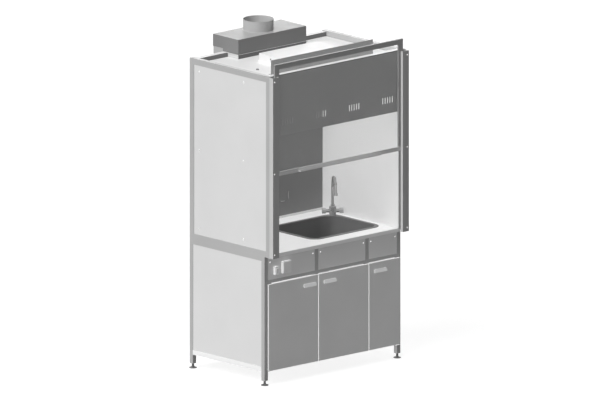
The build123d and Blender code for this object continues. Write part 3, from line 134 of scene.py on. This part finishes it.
class Graph:
    """The nodes of a material or the world, added and joined in few words."""

    def __init__(self, owner):
        owner.use_nodes = True
        self.owner = owner
        self.tree = owner.node_tree
        self.tree.nodes.clear()

    def add(self, kind, **values):
        node = self.tree.nodes.new("ShaderNode" + kind)
        for key, value in values.items():
            setattr(node, key, value)
        return node

    def link(self, source, target):
        self.tree.links.new(source, target)

    def feed(self, node, socket, source):
        """Links a socket to another node's output, or sets it to a value."""
        target = node.inputs[socket]
        if isinstance(source, bpy.types.NodeSocket):
            self.link(source, target)
        else:
            target.default_value = source

    def noise(self, scale, detail=3.0, stretch=None):
        """Noise over the object's own coordinates, in metres, with features about 1 / scale long."""
        coords = self.add("TexCoord").outputs["Object"]
        if stretch:
            mapping = self.add("Mapping")
            self.feed(mapping, "Vector", coords)
            self.feed(mapping, "Scale", stretch)
            coords = mapping.outputs["Vector"]
        noise = self.add("TexNoise")
        self.feed(noise, "Vector", coords)
        self.feed(noise, "Scale", scale)
        self.feed(noise, "Detail", detail)
        return noise.outputs["Fac"]

    def ranged(self, source, low, high, to_low, to_high):
        node = self.add("MapRange")
        self.feed(node, "Value", source)
        self.feed(node, "From Min", low)
        self.feed(node, "From Max", high)
        self.feed(node, "To Min", to_low)
        self.feed(node, "To Max", to_high)
        return node.outputs["Result"]

    def noisy(self, noise, to_low, to_high):
        """A noise spread over a range of values."""
        return self.ranged(noise, *NOISE_BAND, to_low, to_high)

    def maths(self, operation, a, b):
        node = self.add("Math", operation=operation)
        self.feed(node, 0, a)
        self.feed(node, 1, b)
        return node.outputs[0]

    def times(self, a, b):
        return self.maths("MULTIPLY", a, b)

    def scaled(self, colour, factor):
        """A colour times a factor that varies over the surface."""
        node = self.add("VectorMath", operation="SCALE")
        self.feed(node, 0, colour)
        self.feed(node, "Scale", factor)
        return node.outputs[0]

    def edges(self, radius):
        """Near 1 along sharp edges, 0 on flat faces."""
        bevel = self.add("Bevel", samples=4)
        self.feed(bevel, "Radius", radius)
        geometry = self.add("NewGeometry")
        dot = self.add("VectorMath", operation="DOT_PRODUCT")
        self.feed(dot, 0, bevel.outputs["Normal"])
        self.feed(dot, 1, geometry.outputs["Normal"])
        return self.ranged(dot.outputs["Value"], 0.98, 0.75, 0.0, 1.0)

    def gap_shade(self, depth, reach):
        """Painted shade: 1 in the open, down to 1 - depth in gaps and inner corners within reach."""
        shade = self.add("AmbientOcclusion", samples=4)
        self.feed(shade, "Distance", reach)
        return self.ranged(shade.outputs["AO"], 0.35, 0.85, 1.0 - depth, 1.0)

    def facing(self, axis, towards):
        """1 on surfaces that face along an axis, 0 on the rest."""
        split = self.add("SeparateXYZ")
        self.feed(split, 0, self.add("NewGeometry").outputs["Normal"])
        return self.ranged(split.outputs[axis], 0.55 * towards, 0.95 * towards, 0.0, 1.0)

    def axis(self, name):
        """One of the object's own coordinates, in metres."""
        split = self.add("SeparateXYZ")
        self.feed(split, 0, self.add("TexCoord").outputs["Object"])
        return split.outputs[name]

    def seen_directly(self):
        """1 where the camera sees it, straight or in metal and glass, 0 for the light thrown on others."""
        path = self.add("LightPath").outputs
        seen = self.maths("MAXIMUM", path["Is Camera Ray"], path["Is Glossy Ray"])
        seen = self.maths("MAXIMUM", seen, path["Is Transmission Ray"])
        return self.times(seen, self.maths("LESS_THAN", path["Diffuse Depth"], 0.5))

    def out(self, shader, kind="OutputMaterial"):
        self.link(shader, self.add(kind).inputs["Surface"])
        return self.owner


def material_graph(name):
    return Graph(bpy.data.materials.new(name))


def make_finish(name, colour, rough, vary, bump, metal=0.0, shine=0.25, wear=0.0, fleck=0.0, top_light=0.0,
                streak=None, seam_shade=0.0, corner=0.0, front=None, handled=None):
    """Paint, plastic, board or metal: clouds and flecks in the colour, uneven gloss, fine bump, and painted
    shade and painted light where the finish asks for them.
    """
    g = material_graph(name)
    factor = g.noisy(g.noise(CLOUDS), 1.0 - vary, 1.0 + vary)
    factor = g.times(factor, g.noisy(g.noise(GRAIN, 2.0), 1.0 - vary / 2, 1.0 + vary / 2))
    if fleck:
        factor = g.times(factor, g.ranged(g.noise(FLECKS, 0.0), 0.60, 0.72, 1.0, 1.0 - fleck))
    if streak:
        lines = g.noise(STREAKS, 4.0, streak)
        factor = g.times(factor, g.noisy(lines, 1.0 - vary, 1.0 + vary))
    if wear:
        edge = g.times(g.edges(EDGE_WIDTH), g.ranged(g.noise(SCUFFS), 0.40, 0.62, 0.2, 1.0))
        factor = g.maths("ADD", factor, g.times(edge, wear))
    # painted light: what faces up is paled, in cloudy patches
    if top_light:
        lit_from_above = g.times(g.facing("Z", 1), g.noisy(g.noise(TOP_LIGHT_CLOUDS), 0.85, 1.0))
        factor = g.times(factor, g.ranged(lit_from_above, 0.0, 1.0, 1.0, 1.0 + top_light))
    # painted shade: what faces the user is darkened
    if front:
        factor = g.times(factor, g.ranged(g.facing("Y", -1), 0.0, 1.0, 1.0, front))
    # painted shade in narrow gaps and inner corners
    if seam_shade:
        factor = g.times(factor, g.gap_shade(seam_shade, SEAM_REACH))
    # painted shade in wide inner corners
    if corner:
        factor = g.times(factor, g.gap_shade(corner, CORNER_REACH))
    if handled:
        height, gain = handled
        polished = g.ranged(g.axis("Z"), SASH_FOOT + height, SASH_FOOT + 3 * height, gain, 1.0)
        factor = g.times(factor, polished)
    shader = g.add("BsdfPrincipled")
    g.feed(shader, "Base Color", g.scaled((colour, colour, colour), factor))
    g.feed(shader, "Roughness", g.noisy(g.noise(GLOSS_CLOUDS), rough - 0.05, rough + 0.06))
    g.feed(shader, "Metallic", metal)
    g.feed(shader, "Specular IOR Level", shine)
    relief = g.add("Bump")
    g.feed(relief, "Height", lines if streak else g.noise(RELIEF, 2.0))
    g.feed(relief, "Distance", bump * MM)
    g.feed(relief, "Strength", BUMP_STRENGTH)
    g.feed(shader, "Normal", relief.outputs["Normal"])
    return g.out(shader.outputs["BSDF"])


def make_glass(name):
    """Clear toughened glass with faint wipe marks. Lamps shine through it."""
    g = material_graph(name)
    shader = g.add("BsdfPrincipled")
    g.feed(shader, "Base Color", GLASS_COLOUR)
    g.feed(shader, "Transmission Weight", 1.0)
    g.feed(shader, "IOR", GLASS_IOR)
    g.feed(shader, "Roughness", g.ranged(g.noise(WIPES, 4.0, (1, 1, 6)), 0.45, 0.75, 0.0, 0.05))
    clear = g.add("BsdfTransparent")
    mix = g.add("MixShader")
    g.feed(mix, 0, g.add("LightPath").outputs["Is Shadow Ray"])
    g.link(shader.outputs["BSDF"], mix.inputs[1])
    g.link(clear.outputs["BSDF"], mix.inputs[2])
    return g.out(mix.outputs["Shader"])


MATERIALS = {name: make_finish(name, **values) for name, values in FINISHES.items()}
MATERIALS["glass_clear"] = make_glass("glass_clear")

# nodes whose finish isn't the one that the record's material slot names
OWN_FINISH = {"jamb_left": "jamb_grey", "jamb_right": "jamb_grey", "sash_grip": "grip_aluminium",
              "top_rails": "roof_white", "base_low_rails": "rail_white", "side_linings": "lining_light",
              "exhaust_curb": "curb_white", "roof": "roof_white", "rear_duct": "duct_grey",
              "header_sheet": "header_grey"}


def dress(obj, finish):
    obj.data.materials.clear()
    obj.data.materials.append(MATERIALS[finish])


slot_of = {row["node"]: row["material_slot"] for row in frame["record"]["subparts"]}
for node, obj in NODES.items():
    dress(obj, OWN_FINISH.get(node, slot_of[node]))

# ---------------------------------------------------------------- mesh helpers

FINE_STEPS, COARSE_STEPS = 32, 16  # corners of a turned shape
FIXING_SMOOTH, FOOT_SMOOTH, CABLE_SMOOTH = 0.6, 0.45, 0.9  # edges sharper than this angle stay sharp


def ring_of(bm, place, radius, height, steps):
    """A circle of vertices about Z."""
    turns = [2 * math.pi * i / steps for i in range(steps)]
    return [bm.verts.new(place @ Vector((radius * math.cos(a), radius * math.sin(a), height))) for a in turns]


def new_piece(name, bm, finish, smooth):
    """A mesh object in the row frame from a bmesh, with edges sharper than an angle kept sharp."""
    bmesh.ops.remove_doubles(bm, verts=bm.verts, dist=0.001 * MM)
    bmesh.ops.recalc_face_normals(bm, faces=bm.faces)
    mesh = bpy.data.meshes.new(name)
    bm.to_mesh(mesh)
    bm.free()
    for face in mesh.polygons:
        face.use_smooth = True
    mesh.set_sharp_from_angle(angle=smooth)
    obj = bpy.data.objects.new(name, mesh)
    bpy.context.scene.collection.objects.link(obj)
    dress(obj, finish)
    return obj


def turn_to(direction):
    """Rotation that takes Z to a direction."""
    return Vector((0, 0, 1)).rotation_difference(Vector(direction)).to_matrix().to_4x4()


def lathe(bm, profile, place, steps):
    """Turns an outline of (radius, height) about Z, closed where the radius is 0."""
    rings = [ring_of(bm, place, radius, height, steps if radius > 0 else 1) for radius, height in profile]
    for a, b in zip(rings, rings[1:]):
        for i in range(steps):
            j = (i + 1) % steps
            corners = list(dict.fromkeys((a[i % len(a)], a[j % len(a)], b[j % len(b)], b[i % len(b)])))
            if len(corners) > 2:
                bm.faces.new(corners)


def islands(obj):
    """Boxes of a node's separate solids, as (lowest corner, highest corner)."""
    bm = bmesh.new()
    bm.from_mesh(obj.data)
    bmesh.ops.remove_doubles(bm, verts=bm.verts, dist=0.01 * MM)
    seen, boxes = set(), []
    for start in bm.verts:
        if start in seen:
            continue
        stack, group = [start], []
        seen.add(start)
        while stack:
            vert = stack.pop()
            group.append(vert.co.copy())
            for edge in vert.link_edges:
                other = edge.other_vert(vert)
                if other not in seen:
                    seen.add(other)
                    stack.append(other)
        low = Vector(min(p[i] for p in group) for i in range(3))
        high = Vector(max(p[i] for p in group) for i in range(3))
        boxes.append((low, high))
    bm.free()
    return boxes


def screw_head(bm, centre, direction, radius, height):
    """Pan head with a cross recess, its seat at the centre."""
    place = Matrix.Translation(centre) @ turn_to(direction)
    flat = 0.68 * radius
    shoulder = [(radius, 0.45 * height), (0.88 * radius, 0.80 * height), (flat, height)]
    lathe(bm, [(0.0, 0.0), (radius, 0.0)] + shoulder, place, FINE_STEPS)
    top = ring_of(bm, place, flat, height, FINE_STEPS)
    arm, half, deep, taper = 0.55 * radius, 0.13 * radius, 0.45 * height, 0.85
    cross = []
    for quarter in range(4):
        turn = Matrix.Rotation(quarter * math.pi / 2, 4, "Z")
        cross += [turn @ Vector(corner) for corner in ((arm, -half, 0), (arm, half, 0), (half, half, 0))]
    upper = [bm.verts.new(place @ (p + Vector((0, 0, height)))) for p in cross]
    lower = [bm.verts.new(place @ (p * taper + Vector((0, 0, height - deep)))) for p in cross]
    for i in range(len(cross)):
        j = (i + 1) % len(cross)
        bm.faces.new((upper[i], upper[j], lower[j], lower[i]))
    bm.faces.new(lower)
    outer = [bm.edges.new((a, b)) for a, b in zip(top, top[1:] + top[:1])]
    inner = [bm.edges.get((a, b)) for a, b in zip(upper, upper[1:] + upper[:1])]
    bmesh.ops.bridge_loops(bm, edges=outer + inner)


def rivet(bm, spot):
    """Domed rivet head that stands on a spot."""
    dome = [(2.2, 0.0), (2.2, 0.3), (1.8, 0.9), (1.0, 1.3), (0.0, 1.4)]
    lathe(bm, [(radius * MM, height * MM) for radius, height in dome], Matrix.Translation(spot), COARSE_STEPS)


# ---------------------------------------------------------------- fixings

bm = bmesh.new()
for low, high in islands(NODES["screws"]):
    size, middle = high - low, (low + high) / 2
    if size.x < size.y:
        side = math.copysign(1, middle.x)
        seat = Vector((low.x if side > 0 else high.x, middle.y, middle.z))
        screw_head(bm, seat, (side, 0, 0), size.y / 2, size.x)
    else:
        screw_head(bm, Vector((middle.x, high.y, middle.z)), (0, -1, 0), size.x / 2, size.y)
heads = new_piece("screw_heads", bm, "stainless", FIXING_SMOOTH)
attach(heads, "cabinet")
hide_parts("screws")

SHEET = 1.5 * MM  # of the duct, the spigot's flange and the header
DUCT_FLANGE = 20 * MM
DUCT_SCREWS = 6  # on each flange
DUCT_SCREW_PITCH = 196 * MM
DUCT_SCREW_FOOT = 60 * MM  # from the duct's foot to the lowest screw
DUCT_SCREW_R, DUCT_SCREW_H = 4.5 * MM, 1.8 * MM
duct_low, duct_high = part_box("rear_duct")
wall_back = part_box("upper_frame_left")[1].y
bm = bmesh.new()
for side in (-1, 1):
    x = side * (duct_high.x - DUCT_FLANGE / 2)
    for i in range(DUCT_SCREWS):
        z = duct_low.z + DUCT_SCREW_FOOT + i * DUCT_SCREW_PITCH
        screw_head(bm, Vector((x, wall_back + SHEET, z)), (0, 1, 0), DUCT_SCREW_R, DUCT_SCREW_H)
duct_screws = new_piece("duct_flange_screws", bm, "stainless", FIXING_SMOOTH)
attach(duct_screws, "cabinet")

SPIGOT_RIVETS = 12
RIVET_IN = 3 * MM  # from the flange's rim
spigot_low, spigot_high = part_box("duct_spigot")
spigot_middle = (spigot_low + spigot_high) / 2
circle = (spigot_high.x - spigot_low.x) / 2 - RIVET_IN
bm = bmesh.new()
for i in range(SPIGOT_RIVETS):
    a = 2 * math.pi * (i + 0.5) / SPIGOT_RIVETS
    x = spigot_middle.x + circle * math.cos(a)
    y = spigot_middle.y + circle * math.sin(a)
    rivet(bm, Vector((x, y, spigot_low.z + SHEET)))
rivets = new_piece("spigot_rivets", bm, "spigot_metal", FIXING_SMOOTH)
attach(rivets, "cabinet")

HEADER_RIVETS = 6
HEADER_RIVET_IN = 14 * MM  # from the sheet's front edge
header_low, header_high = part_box("header_sheet")
pitch = (header_high.x - header_low.x) / HEADER_RIVETS
bm = bmesh.new()
for i in range(HEADER_RIVETS):
    x = header_low.x + (i + 0.5) * pitch
    rivet(bm, Vector((x, header_low.y + HEADER_RIVET_IN, header_low.z + SHEET)))
rivets = new_piece("header_rivets", bm, "header_grey", FIXING_SMOOTH)
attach(rivets, "cabinet")

LAMP_FLARE = 15 * MM  # how far the lamp box's skirt stands out from its end
LAMP_SCREW_BACK = 214 * MM  # behind the header's front edge
LAMP_SCREW_UP = 37 * MM
LAMP_SCREW_R, LAMP_SCREW_H = 5 * MM, 2 * MM
lamp_low, lamp_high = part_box("lamp_housing")
bm = bmesh.new()
for side in (-1, 1):
    seat = (side * (lamp_high.x - LAMP_FLARE), header_low.y + LAMP_SCREW_BACK, lamp_low.z + LAMP_SCREW_UP)
    screw_head(bm, Vector(seat), (side, 0, 0), LAMP_SCREW_R, LAMP_SCREW_H)
studs = new_piece("lamp_end_screws", bm, "foot_steel", FIXING_SMOOTH)
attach(studs, "cabinet")

# ---------------------------------------------------------------- feet

STEM_R = 8 * MM
STEM_FOOT = 12 * MM
THREAD_PITCH, THREAD_DEPTH = 2.0 * MM, 0.7 * MM


def foot_profile(pad, top):
    """Outline of a foot from the floor up: rounded pad, waist, threaded stem."""
    profile = [(0, 0), (pad - 1.5 * MM, 0), (pad, 1.2 * MM), (pad, 3.6 * MM), (pad - 0.8 * MM, 5.0 * MM)]
    profile += [(pad - 3 * MM, 6.0 * MM), (0.64 * pad, 6.6 * MM), (0.50 * pad, 8.6 * MM)]
    profile += [(0.40 * pad, 11.4 * MM), (STEM_R, STEM_FOOT)]
    root = STEM_R - THREAD_DEPTH
    z = STEM_FOOT
    while z < top - THREAD_PITCH:
        profile += [(STEM_R, z + 0.3 * THREAD_PITCH), (root, z + 0.6 * THREAD_PITCH)]
        profile += [(root, z + 0.8 * THREAD_PITCH), (STEM_R, z + THREAD_PITCH)]
        z += THREAD_PITCH
    return profile + [(STEM_R, top - 0.6 * MM), (STEM_R - 1 * MM, top), (0, top)]


for name in ("front_left", "front_right", "rear_left", "rear_right"):
    node = "foot_" + name
    low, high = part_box(node)
    middle = (low + high) / 2
    bm = bmesh.new()
    profile = foot_profile((high.x - low.x) / 2, high.z)
    lathe(bm, profile, Matrix.Translation((middle.x, middle.y, 0)), FINE_STEPS)
    foot = new_piece(node + "_turned", bm, "foot_steel", FOOT_SMOOTH)
    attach(foot, node)
    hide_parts(node)

# ---------------------------------------------------------------- sash cables

PULLEY_R = 17.25 * MM  # to the cable's middle
CABLE_R = 1 * MM
CABLE_STEPS = 10
CABLE_TAB = 12 * MM  # above the sash's foot
ARC_STEPS = 16


def cable_tube(name, points):
    """Tube through points that lie in one plane of X."""
    bm = bmesh.new()
    rings = []
    for i, point in enumerate(points):
        before, after = points[max(i - 1, 0)], points[min(i + 1, len(points) - 1)]
        side = Vector((1, 0, 0))
        up = (after - before).normalized().cross(side).normalized()
        ring = []
        for k in range(CABLE_STEPS):
            a = 2 * math.pi * k / CABLE_STEPS
            ring.append(bm.verts.new(point + CABLE_R * (math.cos(a) * side + math.sin(a) * up)))
        rings.append(ring)
    for a, b in zip(rings, rings[1:]):
        for k in range(CABLE_STEPS):
            j = (k + 1) % CABLE_STEPS
            bm.faces.new((a[k], a[j], b[j], b[k]))
    bm.faces.new(rings[0])
    bm.faces.new(rings[-1])
    piece = new_piece(name, bm, "stainless", CABLE_SMOOTH)
    return piece


for side in ("left", "right"):
    low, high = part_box("pulley_" + side)
    axle = (low + high) / 2
    arc = []
    for i in range(ARC_STEPS + 1):
        a = math.pi * i / ARC_STEPS
        arc.append(axle + PULLEY_R * Vector((0, -math.cos(a), math.sin(a))))
    over = cable_tube("cable_over_" + side, arc)
    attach(over, "cabinet")
    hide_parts("sash_cables")
    front, rear = axle.y - PULLEY_R, axle.y + PULLEY_R
    top, foot_end = Vector((axle.x, front, axle.z)), Vector((axle.x, front, SASH_FOOT + CABLE_TAB))
    run = cable_tube("cable_front_" + side, [top, foot_end])
    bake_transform(run)
    weight_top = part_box("weight_" + side)[1].z
    top, foot_end = Vector((axle.x, rear, axle.z)), Vector((axle.x, rear, weight_top))
    run = cable_tube("cable_rear_" + side, [top, foot_end])
    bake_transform(run)

# ---------------------------------------------------------------- floor, light, camera

FLOOR_HALF = 20
FLOOR_SEEN, FLOOR_THROWN, FLOOR_LIFT = 0.95, 0.16, 0.16
AMBIENT = 0.16

bm = bmesh.new()
bmesh.ops.create_grid(bm, x_segments=1, y_segments=1, size=FLOOR_HALF)
floor_mesh = bpy.data.meshes.new("floor")
bm.to_mesh(floor_mesh)
bm.free()
floor = bpy.data.objects.new("floor", floor_mesh)
bpy.context.scene.collection.objects.link(floor)
g = material_graph("floor_pale")
seen = g.seen_directly()
shader = g.add("BsdfDiffuse")
g.feed(shader, "Color", g.scaled((1.0, 1.0, 1.0), g.ranged(seen, 0.0, 1.0, FLOOR_THROWN, FLOOR_SEEN)))
lift = g.add("Emission")
g.feed(lift, "Strength", g.ranged(seen, 0.0, 1.0, 0.0, FLOOR_LIFT))
both = g.add("AddShader")
g.link(shader.outputs["BSDF"], both.inputs[0])
g.link(lift.outputs["Emission"], both.inputs[1])
floor.data.materials.append(g.out(both.outputs["Shader"]))
floor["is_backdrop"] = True

world = bpy.data.worlds.new("studio")
bpy.context.scene.world = world
g = Graph(world)
sky = g.add("Background")
g.feed(sky, "Strength", g.maths("MAXIMUM", g.seen_directly(), AMBIENT))
g.feed(sky, "Color", (1, 1, 1, 1))
g.out(sky.outputs["Background"], "OutputWorld")


def sun(name, towards, strength, softness, shadow):
    """A soft lamp far off. Without shadow it stands for the light that a white room throws back."""
    light = bpy.data.lights.new(name, "SUN")
    light.energy = strength
    light.angle = math.radians(softness)
    light.use_shadow = shadow
    obj = bpy.data.objects.new(name, light)
    obj.matrix_world = turn_to(towards)
    bpy.context.scene.collection.objects.link(obj)


KEY = (-0.70, -0.06, 0.71)
sun("key", KEY, 0.55, 40, True)
sun("room", KEY, 2.90, 60, False)
sun("far_walls", (0.66, 0.72, 0.0), 1.6, 40, False)

AZIMUTH, ELEVATION = math.radians(-42.64), math.radians(13.12)
VIEW_WIDTH = 3.8986
VIEW_AWAY = 8
AIM = Vector((0.0, -0.0580, 1.0934))
back = Matrix.Rotation(AZIMUTH, 3, "Z") @ Vector((0, -math.cos(ELEVATION), math.sin(ELEVATION)))
camera_data = bpy.data.cameras.new("camera")
camera_data.type = "ORTHO"
camera_data.ortho_scale = VIEW_WIDTH
camera_data.clip_end = 100
camera = bpy.data.objects.new("camera", camera_data)
looking = back.to_track_quat("Z", "Y").to_matrix().to_4x4()
camera.matrix_world = Matrix.Translation(AIM + back * VIEW_AWAY) @ looking
bpy.context.scene.collection.objects.link(camera)
bpy.context.scene.camera = camera
bpy.context.scene.view_settings.view_transform = "Standard"

low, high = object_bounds()
